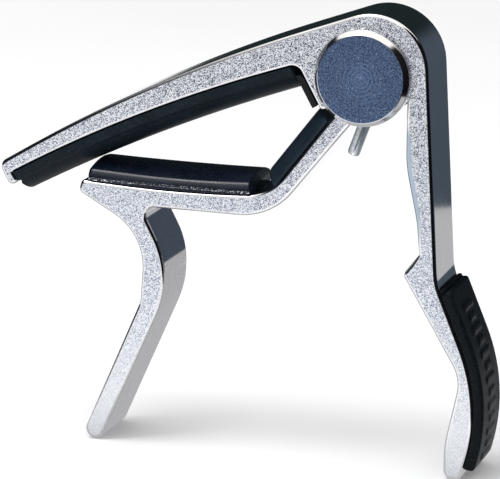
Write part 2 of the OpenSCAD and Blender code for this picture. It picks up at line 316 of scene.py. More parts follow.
# ---------------------------------------------------------------- shader nodes
class Nodes:
    """Builds the node tree of a material or a world."""

    def __init__(self, owner, output="ShaderNodeOutputMaterial"):
        owner.use_nodes = True
        self.owner = owner
        self.tree = owner.node_tree
        self.tree.nodes.clear()
        self.out = self.add(output)

    def add(self, kind, **settings):
        node = self.tree.nodes.new(kind)
        for key, value in settings.items():
            setattr(node, key, value)
        return node

    def link(self, source, socket):
        self.tree.links.new(source, socket)

    def feed(self, socket, value):
        """Links a socket, or sets a number or an (r, g, b) colour."""
        if isinstance(value, bpy.types.NodeSocket):
            self.link(value, socket)
        else:
            socket.default_value = (*value, 1) if isinstance(value, tuple) else value

    def math(self, operation, *values):
        node = self.add("ShaderNodeMath", operation=operation)
        for socket, value in zip(node.inputs, values):
            self.feed(socket, value)
        return node.outputs[0]

    def times(self, a, b):
        return self.math("MULTIPLY", a, b)

    def ramp(self, value, over, to=(0.0, 1.0), smooth=False):
        """Maps the range `over` onto the range `to`."""
        node = self.add("ShaderNodeMapRange")
        if smooth:
            node.interpolation_type = "SMOOTHSTEP"
        for socket, v in zip(node.inputs, (value, *over, *to)):
            self.feed(socket, v)
        return node.outputs[0]

    def mix(self, factor, a, b):
        node = self.add("ShaderNodeMix", data_type="RGBA")
        for i, value in ((0, factor), (6, a), (7, b)):
            self.feed(node.inputs[i], value)
        return node.outputs[2]

    def mix_value(self, factor, a, b):
        node = self.add("ShaderNodeMix", data_type="FLOAT")
        for i, value in ((0, factor), (2, a), (3, b)):
            self.feed(node.inputs[i], value)
        return node.outputs[0]

    def noise(self, vector, scale, detail=2.0, rough=0.5):
        node = self.add("ShaderNodeTexNoise")
        self.link(vector, node.inputs["Vector"])
        node.inputs["Scale"].default_value = scale
        node.inputs["Detail"].default_value = detail
        node.inputs["Roughness"].default_value = rough
        return node.outputs["Fac"]

    def coords(self):
        return self.add("ShaderNodeTexCoord").outputs["Object"]

    def xyz(self, vector):
        node = self.add("ShaderNodeSeparateXYZ")
        self.link(vector, node.inputs[0])
        return node.outputs

    def normal(self, axis, kind="Normal"):
        return self.xyz(self.add("ShaderNodeNewGeometry").outputs[kind])[axis]

    def bump(self, height, strength, distance, normal=None):
        node = self.add("ShaderNodeBump")
        node.inputs["Strength"].default_value = strength
        node.inputs["Distance"].default_value = distance
        self.link(height, node.inputs["Height"])
        if normal is not None:
            self.link(normal, node.inputs["Normal"])
        return node.outputs[0]


class Surface(Nodes):
    """Nodes of a new material with a principled shader."""

    def __init__(self, name):
        super().__init__(bpy.data.materials.new(name))
        self.shader = self.add("ShaderNodeBsdfPrincipled")
        self.link(self.shader.outputs[0], self.out.inputs[0])

    def dress(self, color, rough, normal=None, metal=0.0, spec=0.5):
        """Fills in the shader and returns the material."""
        inputs = self.shader.inputs
        self.feed(inputs["Base Color"], color)
        self.feed(inputs["Roughness"], rough)
        inputs["Metallic"].default_value = metal
        inputs["Specular IOR Level"].default_value = spec
        if normal is not None:
            self.link(normal, inputs["Normal"])
        return self.owner


def shade(color, factor, lift=0.0):
    return tuple(min(1, c * factor + lift) for c in color)


# ---------------------------------------------------------------- materials
def nickel():
    """Speckled plating on the ±Y faces and brushed plating on the edges."""
    m = Surface("nickel_plate")
    place = m.coords()
    face = m.ramp(m.math("ABSOLUTE", m.normal(1)), over=(0.975, 0.998), smooth=True)
    grain = m.noise(place, scale=5200, detail=1.0)
    fine = m.noise(place, scale=8400, detail=0.0)
    blotch = m.noise(place, scale=120, detail=3.0, rough=0.6)
    grain_share, fine_share, cell_share = 0.62, 0.38, 0.24
    mixed = m.math("ADD", m.times(grain, grain_share), m.times(fine, fine_share))
    cells = m.add("ShaderNodeTexVoronoi", feature="F1")
    m.link(place, cells.inputs["Vector"])
    cells.inputs["Scale"].default_value = 5100
    pick = m.xyz(cells.outputs["Color"])[0]
    speckle = m.ramp(m.math("ADD", m.times(pick, cell_share), mixed), over=(0.576, 0.604))

    # Painted light: the dark specks pale in two stages down the piece, standing in for the
    # brighter light on its lower part.
    low = m.ramp(m.xyz(place)[2], over=(-0.004, -0.034))
    dark = m.mix(low, a=(0.006, 0.014, 0.070), b=(0.21, 0.25, 0.37))
    dark = m.mix(m.ramp(m.xyz(place)[2], over=(-0.045, -0.070)), dark, b=(0.76, 0.78, 0.82))
    light = m.mix(low, a=(0.95, 0.975, 1.0), b=(0.955, 0.98, 1.0))
    faces = m.mix(speckle, dark, light)
    faces = m.mix(m.ramp(blotch, over=(0.35, 0.7), to=(0.0, 0.12)), faces, b=(0.58, 0.60, 0.72))

    stretch = m.add("ShaderNodeMapping")
    m.link(place, stretch.inputs["Vector"])
    stretch.inputs["Scale"].default_value = (0.05, 1, 0.05)
    brush = m.noise(stretch.outputs["Vector"], scale=2600)
    edges = m.mix(m.ramp(brush, over=(0.3, 0.7)), a=(0.76, 0.76, 0.77), b=(0.88, 0.875, 0.885))
    # Painted shade: grainy darker patches on the edges towards -X.
    left = m.ramp(m.xyz(place)[0], over=(-0.020, -0.034))
    edges = m.mix(m.ramp(fine, over=(0.40, 0.60), to=(0.0, 0.20)), edges, b=(0.45, 0.45, 0.46))
    left_edge_painted_shade = m.times(left, m.ramp(grain, over=(0.44, 0.58), to=(0.0, 0.55)))
    edges = m.mix(left_edge_painted_shade, edges, b=(0.42, 0.43, 0.44))

    # Painted shade: a darker, bluish patch on the -X edge of the strap below the ear.
    nx = m.normal(0)
    px, _, pz = m.xyz(place)
    across = m.times(m.ramp(px, over=(0.005, 0.007)), m.ramp(px, over=(0.0140, 0.0125)))
    along = m.times(m.ramp(pz, over=(-0.034, -0.027)), m.ramp(pz, over=(-0.008, -0.011)))
    strap = m.times(m.times(across, along), m.ramp(nx, over=(-0.04, -0.14)))
    edges = m.mix(strap, edges, b=(0.36, 0.43, 0.49))
    color = m.mix(face, edges, faces)
    edge_rough = m.ramp(brush, over=(0.3, 0.7), to=(0.06, 0.10))
    face_rough = m.ramp(speckle, over=(0.0, 1.0), to=(0.55, 0.38))
    rough = m.mix_value(face, edge_rough, face_rough)
    normal = m.bump(m.times(face, mixed), strength=0.7, distance=0.00014)
    return m.dress(color, rough, normal, metal=1.0)


def turned(name, base, rough, rings, strength=0.25):
    """Steel with flecks and turning rings about the pivot axis on its ±Y faces."""
    m = Surface(name)
    place = m.coords()
    x, _, z = m.xyz(place)
    radius = m.math("SQRT", m.math("ADD", m.times(x, x), m.times(z, z)))
    radial = m.add("ShaderNodeCombineXYZ")
    m.link(radius, radial.inputs[0])
    line = m.noise(radial.outputs[0], scale=rings, detail=3.0, rough=0.7)
    fleck = m.noise(place, scale=4200, detail=1.0, rough=0.6)
    face = m.ramp(m.math("ABSOLUTE", m.normal(1)), over=(0.90, 0.99), smooth=True)
    core = m.ramp(radius, over=(0.0006, 0.0026), to=(1.0, 0.0), smooth=True)
    color = m.mix(m.ramp(line, over=(0.40, 0.60)), shade(base, factor=0.78),
                  shade(base, factor=1.25))
    flecks = m.ramp(fleck, over=(0.42, 0.62), to=(0.0, 0.9))
    color = m.mix(flecks, color, shade(base, factor=1.7))
    dots = m.noise(place, scale=3300, detail=0.0)
    color = m.mix(m.ramp(dots, over=(0.66, 0.74), to=(0.0, 0.6)), color, b=(0.4, 0.48, 0.58))
    dips = m.noise(place, scale=4100, detail=0.0)
    color = m.mix(m.ramp(dips, over=(0.48, 0.34), to=(0.0, 0.9)), color,
                  shade(base, factor=0.35))
    ring_pitch = 8200.0  # radians per metre of radius
    wave = m.math("SINE", m.times(radius, ring_pitch))
    near = m.ramp(radius, over=(0.0012, 0.0065), to=(1.0, 0.15), smooth=True)
    bright_rings = m.times(near, m.ramp(wave, over=(-0.2, 0.9), to=(0.0, 0.42)))
    color = m.mix(bright_rings, color, shade(base, factor=2.3))
    core_share, line_height, fleck_height = 0.35, 0.8, 0.4
    color = m.mix(m.times(core, core_share), color, shade(base, factor=1.6))
    color = m.mix(face, a=(0.80, 0.80, 0.80), b=color)
    face_rough = m.ramp(fleck, over=(0.3, 0.7), to=(rough * 0.85, rough * 1.2))
    rough = m.mix_value(face, a=0.12, b=face_rough)
    height = m.math("ADD", m.times(line, line_height), m.times(fleck, fleck_height))
    normal = m.bump(m.times(height, face), strength, distance=0.00006)
    return m.dress(color, rough, normal, metal=1.0)


def rubber(name, base, rough, grain, spec, scale=2400, groove_highlight_band=None):
    """Dark rubber; groove_highlight_band gives the bottom and top z of pale flecks on its -Y
    side, a painted highlight.
    """
    m = Surface(name)
    place = m.coords()
    fine = m.noise(place, scale, detail=3.0, rough=0.6)
    cloud = m.noise(place, scale=140, detail=3.0, rough=0.6)
    color = m.mix(m.ramp(cloud, over=(0.35, 0.7)), base, shade(base, factor=1.5, lift=0.0008))
    color = m.mix(m.ramp(fine, over=(0.5, 0.75), to=(0.0, 0.35)), color,
                  shade(base, factor=2.4, lift=0.003))
    dots = m.noise(place, scale=4600, detail=0.0)
    specks = m.ramp(dots, over=(0.66, 0.76), to=(0.0, 0.5))
    color = m.mix(specks, color, b=(0.045, 0.055, 0.075))
    if groove_highlight_band:
        # Painted highlight: pale flecks in a band of z, on the -Y side only.
        bottom, top = groove_highlight_band
        fade = 0.0002
        z = m.xyz(place)[2]
        band = m.times(m.ramp(z, over=(bottom, bottom + fade)), m.ramp(z, over=(top, top - fade)))
        flecks = m.ramp(m.noise(place, scale=3400, detail=1.0), over=(0.55, 0.66))
        facing = m.normal(1, "True Normal")
        flecks = m.times(flecks, m.ramp(facing, over=(-0.25, -0.5)))
        color = m.mix(m.times(band, flecks), color, b=(0.62, 0.66, 0.72))
    cloud_rough = m.ramp(cloud, over=(0.3, 0.7), to=(rough - 0.05, rough + 0.07))
    fine_rough = m.ramp(fine, over=(0.3, 0.7), to=(-0.03, 0.04))
    rough = m.math("ADD", cloud_rough, fine_rough)
    if groove_highlight_band:
        # Shinier where it faces up; this link overrides the plain specular level.
        gloss = m.ramp(m.normal(2), over=(0.0, 0.22), to=(spec * 0.42, spec * 1.35))
        m.link(gloss, m.shader.inputs["Specular IOR Level"])
    soft = m.bump(cloud, strength=0.15, distance=0.0002)
    normal = m.bump(fine, strength=grain * 0.3, distance=0.00005, normal=soft)
    return m.dress(color, rough, normal, spec=spec)


def plain_metal(name, base, rough):
    m = Surface(name)
    place = m.coords()
    fine = m.noise(place, scale=1900, detail=3.0, rough=0.6)
    cloud = m.noise(place, scale=260)
    color = m.mix(m.ramp(fine, over=(0.35, 0.7)), shade(base, factor=0.8),
                  shade(base, factor=1.2))
    clouds = m.ramp(cloud, over=(0.4, 0.7), to=(0.0, 0.4))
    color = m.mix(clouds, color, shade(base, factor=0.7))
    rough = m.ramp(cloud, over=(0.3, 0.7), to=(rough * 0.8, rough * 1.25))
    normal = m.bump(fine, strength=0.2, distance=0.00004)
    return m.dress(color, rough, normal, metal=1.0)


NICKEL = nickel()
HEAD_STEEL = turned("turned_steel_face", base=(0.072, 0.108, 0.190), rough=0.34, rings=5200,
                    strength=0.5)
CAP_STEEL = turned("turned_steel_cap", base=(0.20, 0.22, 0.27), rough=0.34, rings=3800)
ZINC = plain_metal("zinc_pin", base=(0.60, 0.65, 0.68), rough=0.34)
SPRING_STEEL = plain_metal("spring_wire", base=(0.33, 0.33, 0.35), rough=0.3)
PAD_RUBBER = rubber("pad_rubber", base=(0.0055, 0.0095, 0.0130), rough=0.36, grain=0.7, spec=0.05)
# The pale flecks along its groove are a painted highlight.
NECK_RUBBER = rubber("neck_pad_rubber", base=(0.0022, 0.0046, 0.0115), rough=0.27, grain=0.6,
                     spec=0.34, groove_highlight_band=(-0.02555, -0.02490))
GRIP_RUBBER = rubber("grip_rubber", base=(0.0018, 0.0034, 0.0042), rough=0.36, grain=0.6,
                     spec=0.07)
# Painted light: a lighter copy of the pad rubber, for the throat pad's lit crown.
LIT_THROAT_RUBBER = rubber("throat_pad_rubber", base=(0.0085, 0.0150, 0.0225), rough=0.34, grain=0.7,
                       spec=0.10)
LINER_FOAM = rubber("liner_foam", base=(0.006, 0.0065, 0.007), rough=0.6, grain=2.0, spec=0.15,
                    scale=3200)


# ---------------------------------------------------------------- frames
def radial(a):
    return Vector((math.cos(a), 0, math.sin(a)))


def tangent(a):
    return Vector((-math.sin(a), 0, math.cos(a)))


def drill_spring_leg(target, angle, side, y0, y1):
    """Hole for the spring leg that leaves the coil at an angle; side is -1 or 1 along Y."""
    centre = radial(angle) * COIL + tangent(angle) * BEND * side
    boolean(target, y_cylinder(WIRE + 0.1, y0, y1, 40, centre.x, centre.z))


def strap_rim(p):
    """The -X edge of the strap has a broader rim below the ear."""
    if not 6.0 < p.x < 13.0:
        return 1.0
    a = min(1, max(0, (p.y + 33.0) / 8.0)) * min(1, max(0, (-8.0 - p.y) / 6.0))
    return 1.0 + 1.3 * a * a * (3 - 2 * a)


def make_arm():
    outline = densify(rounded(ARM), OUTLINE_STEP)
    arm = prism("trigger_arm_metal", outline, -HALF, HALF, scale_at=strap_rim)
    boolean(arm, y_cylinder(SLOT_R, -EAR_IN, EAR_IN, 160))
    boolean(arm, y_cylinder(SHANK_R + 0.05, -THROUGH, THROUGH))
    drill_spring_leg(arm, COIL_END, 1, EAR_IN - 0.5, THROUGH)
    tidy(arm)
    finish(arm, TRIGGER, "trigger_arm", NICKEL)


def make_jaw():
    outline = densify(rounded(JAW_OUTLINE), OUTLINE_STEP)
    jaw = prism("lower_jaw_metal", outline, -HALF, HALF)
    # Room for the ears on both sides of the knuckle.
    ear_room, ear_gap = EAR_R + 0.3, KNUCKLE + 0.02
    boolean(jaw, y_cylinder(ear_room, -THROUGH, -ear_gap, 160))
    boolean(jaw, y_cylinder(ear_room, ear_gap, THROUGH, 160))
    boolean(jaw, y_cylinder(KNUCKLE_R, -KNUCKLE, KNUCKLE, 160), "UNION")
    boolean(jaw, pin_cylinder(PIN_R + 1.0, -PIN_LENGTH + 2, -PIN_REACH - 2.7), "UNION")
    pocket = [(POCKET_IN, POCKET_FLOOR), (POCKET_OUT, POCKET_FLOOR),
              (POCKET_OUT, THROUGH), (POCKET_IN, THROUGH)]
    boolean(jaw, lathe("cut", pocket, closed=True))
    boolean(jaw, y_cylinder(SHANK_R + 0.01, -THROUGH, THROUGH))
    boolean(jaw, pin_cylinder(PIN_R + 0.01, -PIN_LENGTH - 0.1, -1))
    drill_spring_leg(jaw, COIL_START, -1, -HALF, -KNUCKLE + 2.4)
    tidy(jaw)
    finish(jaw, JAW, "lower_jaw", NICKEL)


# ---------------------------------------------------------------- torsion spring
def spring_leg(angle, side, coil_y, end_y):
    """Leg parallel to Y and its bend into the coil: (normal, direction, centre) stations."""
    out, along = radial(angle), tangent(angle)
    straight = out * COIL + along * BEND * side + Vector((0, end_y, 0))
    path = [(out, Vector((0, 1, 0)), straight)]
    for k in range(BEND_STEPS + 1):
        q = math.pi / 2 * k / BEND_STEPS
        y = coil_y + side * BEND * (1 - math.sin(q))
        path.append((out, Vector((0, math.cos(q), 0)) + along * math.sin(q),
                     out * COIL + along * BEND * math.cos(q) * side + Vector((0, y, 0))))
    return path


def make_spring():
    path = spring_leg(COIL_START, -1, COIL_Y0, -KNUCKLE + 0.25)
    for k in range(1, COIL_STEPS):
        f = k / COIL_STEPS
        a = COIL_START + (COIL_END - COIL_START) * f
        y = COIL_Y0 + (COIL_Y1 - COIL_Y0) * f
        path.append((radial(a), tangent(a), radial(a) * COIL + Vector((0, y, 0))))
    path += reversed(spring_leg(COIL_END, 1, COIL_Y1, HALF - 0.25))
    angles = [2 * math.pi * j / WIRE_SIDES for j in range(WIRE_SIDES)]
    rings = []
    for normal, direction, centre in path:
        across = direction.cross(normal)
        rings.append([centre + (normal * math.cos(a) + across * math.sin(a)) * WIRE
                      for a in angles])
    spring = loft("torsion_spring_wire", rings)
    finish(spring, None, "torsion_spring", SPRING_STEEL, weighted=False)
    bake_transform(spring)


# ---------------------------------------------------------------- pivot and stop pin
# Radius, depth behind the head's face.
HEAD_CENTRE = [(0, 0.10), (0.35, 0.09), (0.55, 0.02), (0.8, 0)]
HEAD_RIM = [(8.62, 0.01), (8.74, 0.05), (8.84, 0.13), (9.45, 0.92), (9.55, 1.04), (9.62, 1.18),
            (9.66, 1.35)]
GROOVE_IN, GROOVE_OUT, GROOVE_DEPTH, GROOVE_STEPS = 0.8, 8.45, 0.012, 25
# Height from the tip, trim off the outer radius, trim onto the bore.
PIN_RINGS = [(-PIN_LENGTH, 0.24, 0.10), (-PIN_LENGTH + 0.12, 0.15, 0.03),
             (-PIN_LENGTH + 0.4, 0.0, 0.0), (-0.45, 0.0, 0.0), (-0.28, 0.05, 0.0),
             (-0.12, 0.14, 0.02), (-0.02, 0.25, 0.08)]


def make_head():
    """Round head with fine grooves in its face, and the shank up to the cap."""
    grooves = [(GROOVE_IN + (GROOVE_OUT - GROOVE_IN) * k / GROOVE_STEPS, GROOVE_DEPTH * (k % 2))
               for k in range(1, GROOVE_STEPS + 1)]
    profile = [(r, HEAD_FACE + depth) for r, depth in HEAD_CENTRE + grooves + HEAD_RIM]
    profile += [(9.68, -SEAT - 0.12), (9.62, -SEAT - 0.03), (9.5, -SEAT),
                (SHANK_R + 0.25, -SEAT), (SHANK_R, -SEAT + 0.2),
                (SHANK_R, CAP_TOP - 0.55), (SHANK_R - 0.3, CAP_TOP - 0.28),
                (SHANK_R - 0.7, CAP_TOP - 0.25), (0, CAP_TOP - 0.25)]
    head = lathe("pivot_head_and_shank", profile, 160)
    finish(head, JAW, "pivot_pin", HEAD_STEEL, angle=28)


def make_cap():
    bore = SHANK_R + 0.02
    profile = [(bore, SEAT), (CAP_R - 0.2, SEAT), (CAP_R - 0.05, HALF + 0.1),
               (CAP_R, HALF + 0.25), (CAP_R, CAP_TOP - 0.6), (CAP_R - 0.12, CAP_TOP - 0.28),
               (CAP_R - 0.38, CAP_TOP - 0.08), (CAP_R - 0.75, CAP_TOP), (SHANK_R + 1.0, CAP_TOP),
               (SHANK_R + 0.75, CAP_TOP - 0.03), (SHANK_R + 0.3, CAP_TOP - 0.35),
               (bore, CAP_TOP - 0.45)]
    cap = lathe("rear_cap_metal", profile, closed=True)
    finish(cap, JAW, "rear_cap", CAP_STEEL, angle=28)


def make_stop_pin():
    """Rolled tube with a slit along it."""
    rings = []
    for z, outer_trim, bore_trim in PIN_RINGS:
        ring = []
        for radius, trim, order in ((PIN_R, -outer_trim, 1), (PIN_BORE, bore_trim, -1)):
            start = math.asin(SLIT_HALF / radius)
            for k in range(41)[::order]:
                a = start + (2 * math.pi - 2 * start) * k / 40
                ring.append(((radius + trim) * math.cos(a), (radius + trim) * math.sin(a), z))
        rings.append(ring)
    pin = loft("stop_pin_metal", rings)
    slit_turn = Matrix.Rotation(math.radians(-100), 4, "Z")
    pin.data.transform(PIN_FRAME @ slit_turn)
    finish(pin, JAW, "stop_pin", ZINC, angle=40, weighted=False)


# ---------------------------------------------------------------- pad helpers
def at_length(points, lengths, s):
    """Point and direction at length s along a line."""
    i = max(j for j in range(len(lengths)) if lengths[j] <= s + 1e-9)
    i = min(i, len(points) - 2)
    f = (s - lengths[i]) / (lengths[i + 1] - lengths[i])
    return points[i].lerp(points[i + 1], f), (points[i + 1] - points[i]).normalized()


def stations_along(points, step, ends):
    """Even stations (s, point, direction), with extra ones at set distances from both ends."""
    lengths = [0.0]
    for a, b in zip(points, points[1:]):
        lengths.append(lengths[-1] + (b - a).length)
    total = lengths[-1]
    n = max(2, round(total / step))
    even = [total * k / n for k in range(n + 1)]
    even_points = [at_length(points, lengths, s)[0] for s in even]
    places = sorted({round(s, 4) for s in even + ends + [total - v for v in ends]})
    return [(s, *at_length(even_points, even, s)) for s in places], total


def ease(distance, length):
    """1 at an end, falling to 0 at the given length along a quarter circle."""
    if distance >= length:
        return 0.0
    return 1 - math.sqrt(max(0, 1 - ((length - distance) / length) ** 2))


def crown(width, base, top, steps=18):
    """Half arc (y, height) from (width, base) to (0, top)."""
    rise = top - base
    radius = (width * width + rise * rise) / (2 * rise)
    a = math.asin(min(1, width / radius))
    return [(radius * math.sin(a * (1 - i / steps)),
             top - radius + radius * math.cos(a * (1 - i / steps))) for i in range(steps + 1)]


def mirrored(half):
    """Closed ring from a half profile that runs from the base at +y to the top."""
    return half + [(-y, n) for y, n in reversed(half[:-1])]


def pad(name, stations, section, body, node, material, angle):
    """Pad whose half section(s), as (y, height), stands on the left of the line."""
    rings = []
    for i, (s, p, _) in enumerate(stations):
        total = Vector((0, 0))
        for _, _, direction in stations[max(0, i - 2):i + 3]:
            total += direction
        d = total.normalized()
        normal = Vector((-d.y, d.x))
        rings.append([(p.x + normal.x * n, y, p.y + normal.y * n)
                      for y, n in mirrored(section(s))])
    finish(loft(name, rings), body, node, material, angle, weighted=False)


# ---------------------------------------------------------------- string pad
# The foot follows the arm's lower edge and the playing face is a flatter arch.
# Each arc: centre, radius, start angle and sweep in degrees.
FOOT_ARC = (Vector((83.004, -296.270)), 312.95, 120.028, 11.775)
FACE_ARC = (Vector((111.932, -362.908)), 380.457, 118.938, 9.878)
STRING_LENGTH = 63.7
STRING_STATIONS = [
    0.0, 0.02, 0.06, 0.12, 0.22, 0.36, 0.50, 0.60, 0.63, 0.65, 0.68, 0.72, 0.78, 0.86, 0.94,
    1.02, 1.3, 1.7, 2.3, *[3.0 + k * (60.8 - 3.0) / 58 for k in range(59)],
    61.4, 62.0, 62.4, 62.7, 62.9, 63.1, 63.3, 63.45, 63.56, 63.64, 63.68, STRING_LENGTH]


def arc_point(arc, f):
    centre, radius, start, turn = arc
    a = math.radians(start - f * turn)
    return centre + radius * Vector((math.cos(a), math.sin(a)))


def lean(n):
    """Shift of the first end along the pad at height n."""
    return 0.04 + 0.465 * n if n < 2.3 else max(0.0, 1.11 - (n - 2.3) * 0.7)


def string_section(s, deep):
    """Straight flange with a crown that starts behind the first end."""
    left = STRING_LENGTH - s
    e = max(ease(s, 0.5), ease(left, 0.35))
    rise = 0.0 if s < 0.62 else math.sqrt(max(0.0, 1 - (max(0.0, 0.84 - s) / 0.22) ** 2))
    rise *= 1 - 0.10 * ease(left, 0.6)
    flange = 2.0 - 0.22 * e
    trim = EXTRA - 0.15 * e
    half = [(6.88 + EXTRA - 0.12 * e, 0.04), (6.96 + trim, 0.18), (6.96 + trim, flange - 0.28),
            (6.91 + trim, flange - 0.10), (6.80 + trim, flange - 0.02), (6.68 + trim, flange)]
    top = max(flange + (deep - 0.02 - flange) * rise, flange + 0.06)
    return half + crown(6.62 + EXTRA - 0.3 * e, flange + 0.015, top)


def make_string_pad():
    rings = []
    for s in STRING_STATIONS:
        foot = arc_point(FOOT_ARC, s / STRING_LENGTH)
        face = arc_point(FACE_ARC, s / STRING_LENGTH)
        deep = (face - foot).length
        down = (face - foot) / deep
        along = Vector((-down.y, down.x))
        ring = []
        for y, n in mirrored(string_section(s, deep)):
            p = foot + down * n + along * max(0.0, lean(n) - 0.8 * s)
            ring.append((p.x, y, p.y))
        rings.append(ring)
    ob = loft("string_pad_rubber", rings)
    finish(ob, TRIGGER, "string_pad", PAD_RUBBER, angle=42, weighted=False)


# ---------------------------------------------------------------- other rubber
def make_liner():
    """Thin strip on the arm beside the ear."""
    along, out = Vector((0.4924, -0.8704)), Vector((-0.8704, -0.4924))
    foot = Vector((-9.25, -6.3)) + out * 0.05
    thick, half = 0.98, HALF - 0.12
    outline = [foot - along * 6.0, foot - along * 6.75 + out * 0.4,
               foot - along * 6.95 + out * thick, foot + out * thick, foot]
    liner = prism("throat_liner_rubber", densify(outline, 1.0), -half, half, rim=0.12, steps=2)
    finish(liner, TRIGGER, "throat_liner", LINER_FOAM)


def make_neck_pad():
    """Pad along the top edge of the jaw, with a groove round its foot."""
    lo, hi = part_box("neck_pad")
    x0, x1, top = lo.x / S + 0.02, hi.x / S - 0.02, hi.z / S
    first, middle, last = JAW_OUTLINE[1:4]

    def edge_point(x, a, b):
        return Vector((x, a[1] + (b[1] - a[1]) * (x - a[0]) / (b[0] - a[0])))

    arc = corner(first, middle, last, step=1)
    line = [edge_point(x0, first, middle), *[p for p in arc if x0 + 0.5 < p.x < x1 - 0.5],
            edge_point(x1, middle, last)]
    ends = [0.0, 0.03, 0.1, 0.22, 0.4, 0.62, 0.85, 1.1]
    stations, total = stations_along(line, 1.0, ends)
    point_at = {s: p for s, p, _ in stations}

    def section(s):
        height = top - 0.06 - point_at[s].y - 0.10 * (1 - (2 * s / total - 1) ** 2)
        e = ease(s, 1.0) + 0.3 * ease(total - s, 0.3)
        w = 6.98 + EXTRA - 0.35 * e
        shoulder = 2.25 - 0.5 * e
        half = [(w - 0.10, 0.06), (w, 0.16), (w, 0.62), (w - 0.06, 0.74), (w - 0.30, 0.80),
                (w - 0.32, 0.88), (w - 0.30, 0.96), (w - 0.07, 1.02), (w, 1.12),
                (w, shoulder - 0.95)]
        for degrees in range(6, 61, 6):
            q = math.radians(degrees)
            half.append((w - 1.4 + 1.4 * math.cos(q), shoulder - 0.95 + 1.4 * math.sin(q)))
        return half + crown(w - 0.84, shoulder + 0.33, height - 0.75 * e)

    pad("neck_pad_rubber", stations, section, JAW, "neck_pad", NECK_RUBBER, angle=50)


def make_throat_pad():
    """Crowned pad on the jaw's diagonal."""
    along = Vector((0.6027, 0.7980))
    foot = Vector((-17.2, -23.0))
    ends = [0.0, 0.05, 0.15, 0.3, 0.5, 0.75, 1.05, 1.35, 1.6]
    stations, total = stations_along([foot - along * 0.55, foot + along * 17.0], 1.0, ends)

    def section(s):
        start, end = ease(s, 0.5), ease(total - s, 1.6)
        w = 6.95 + EXTRA - 0.5 * max(start * 0.75, end)
        half = [(w - 0.08, 0.06), (w, 0.18), (w, 0.62), (w - 0.05, 0.74), (w - 0.16, 0.82)]
        return half + crown(w - 0.22, 0.86, 3.7 - 1.5 * end - 0.4 * start)

    pad("throat_pad_rubber", stations, section, JAW, "throat_pad", LIT_THROAT_RUBBER, angle=50)


TREAD_START, TREAD_PITCH, TREAD_BARS, TREAD_HEIGHT = 4.2, 2.5, 13, 0.25
FLANGE_LENGTH = 0.66  # thin lip at the upper end of the grip


def tread(s, y):
    """Row of low raised bars, wide and narrow in turn."""
    u = (s - TREAD_START) / TREAD_PITCH
    if u < 0 or u > TREAD_BARS:
        return 0.0
    k = u - math.floor(u)
    bar = max(0.0, min(1.0, (0.31 - abs(k - 0.5)) / 0.10))
    wide = 3.3 if int(u) % 2 == 0 else 2.3
    side = max(0.0, min(1.0, (wide - abs(y)) / 0.35))
    return TREAD_HEIGHT * bar * side


def make_grip():
    """Grip on the +X edge of the arm's handle."""
    line = corner(*ARM[2:5]) + corner(*ARM[3:6])
    line = [p for p in line if -77.75 < p.y < -41.5]
    line = [Vector((16.75, -41.45)), *line, Vector((22.78, -77.6))]
    ends = [0.0, 0.04, 0.12, 0.22, 0.4, 0.6, 0.64, 0.68, 0.74, 0.84, 1.0, 1.2, 1.4]
    stations, total = stations_along(line, 0.3, ends)

    def section(s):
        flange = s < FLANGE_LENGTH
        end = ease(total - s, 0.8)
        w = 6.9 + EXTRA - 0.25 * end
        if flange:
            thick = 0.95 - 0.25 * ease(s, 0.3)
        else:
            thick = 2.16 - 0.62 * ease(s - FLANGE_LENGTH, 0.75)
            w -= 0.9 * ease(s - FLANGE_LENGTH, 1.0)
        thick -= 0.8 * end
        r = min(0.3 if flange else 0.75, thick - 0.15)
        half = [(w - 0.12, 0.06), (w, 0.2), (w, (thick - r + 0.2) / 2)]
        for k in range(7):
            q = math.pi / 2 * k / 6
            half.append((w - r + r * math.cos(q), thick - r + r * math.sin(q)))
        for k in range(1, 23):
            y = (w - r) * (1 - k / 22)
            raised = 0.0 if flange else tread(s, y)
            half.append((y, thick + 0.03 * (1 - (y / 6) ** 2) + raised))
        return half

    pad("trigger_grip_rubber", stations, section, TRIGGER, "trigger_grip", GRIP_RUBBER, angle=45)


for make in (make_arm, make_jaw, make_spring, make_head, make_cap, make_stop_pin,
             make_string_pad, make_liner, make_neck_pad, make_throat_pad, make_grip):
    make()

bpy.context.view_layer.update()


# ---------------------------------------------------------------- stage (metres)
def stage_plane(name, x0, x1, y0, y1, z, material):
    mesh = bpy.data.meshes.new(name)
    mesh.from_pydata([(x0, y0, z), (x1, y0, z), (x1, y1, z), (x0, y1, z)], [], [(0, 1, 2, 3)])
    ob = bpy.data.objects.new(name, mesh)
    bpy.context.scene.collection.objects.link(ob)
    mesh.materials.append(material)
    return ob


def make_floor():
    m = Surface("pale_floor")
    cloud = m.noise(m.coords(), scale=6)
    color = m.mix(m.ramp(cloud, over=(0.3, 0.7)), a=(0.90, 0.90, 0.905), b=(0.93, 0.93, 0.935))
    material = m.dress(color, rough=0.9, spec=0.0)
    floor = stage_plane("floor", x0=-6, x1=6, y0=-6, y1=6, z=FLOOR - 0.00005, material=material)
    floor.visible_glossy = False


